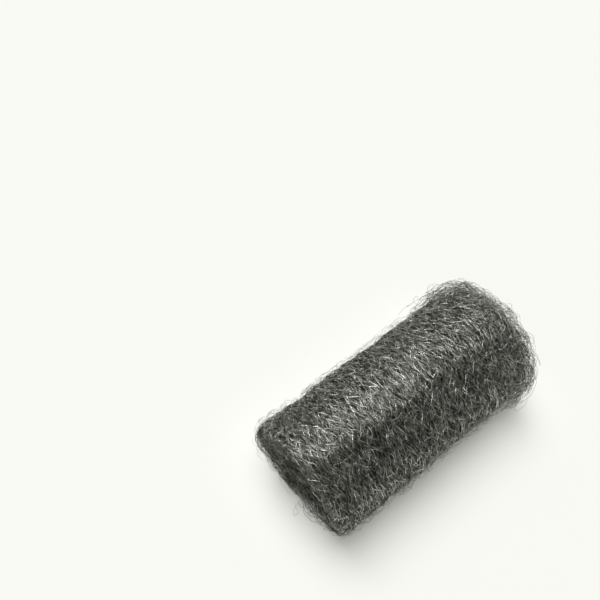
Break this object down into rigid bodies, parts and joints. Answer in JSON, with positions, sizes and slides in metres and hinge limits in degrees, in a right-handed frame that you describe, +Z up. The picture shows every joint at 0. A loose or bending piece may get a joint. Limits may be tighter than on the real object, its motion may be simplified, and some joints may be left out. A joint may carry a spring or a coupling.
{
  "type": "steel wool pad",
  "caption": "Rolled pad of fine steel wool for scouring and polishing, lying on its side, with one hollow end and one domed end.",
  "frame": {"origin": "middle of the flat spot that the roll lies on, at the floor", "axes": "+X along the roll towards its domed end, +Z up, +Y to the side away from the furrow"},
  "size_m": [0.0769, 0.0379, 0.0365],
  "materials": {
    "steel_wool": "loose mat of fine bright drawn steel fibres, dark between them"
  },
  "bodies": {
    "root": {"wool_roll": "steel_wool"}
  },
  "joints": []
}
